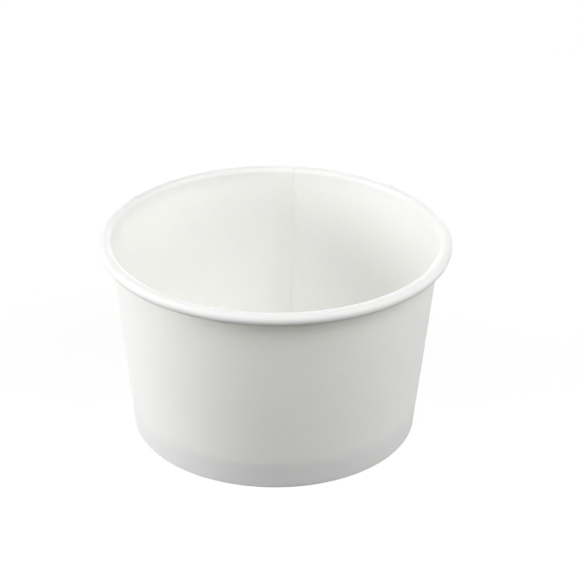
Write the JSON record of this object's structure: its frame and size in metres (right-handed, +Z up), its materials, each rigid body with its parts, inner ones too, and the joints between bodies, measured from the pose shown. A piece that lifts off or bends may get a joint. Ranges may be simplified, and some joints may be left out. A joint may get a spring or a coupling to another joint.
{
  "type": "paper sundae cup",
  "caption": "Round tapered paper cup with a rolled rim, a lapped side seam and a recessed floor, for ice cream and other desserts.",
  "frame": {"origin": "on the cup's axis, in the plane that the foot stands on", "axes": "+Z up along the cup's axis, through the open mouth; the front faces -Y and the side seam is at the back, near +Y"},
  "size_m": [0.096, 0.096, 0.056],
  "materials": {
    "wall_board": "satin",
    "bottom_board": "satin"
  },
  "bodies": {
    "root": {"side_wall": "wall_board", "bottom_disc": "bottom_board"}
  },
  "joints": []
}
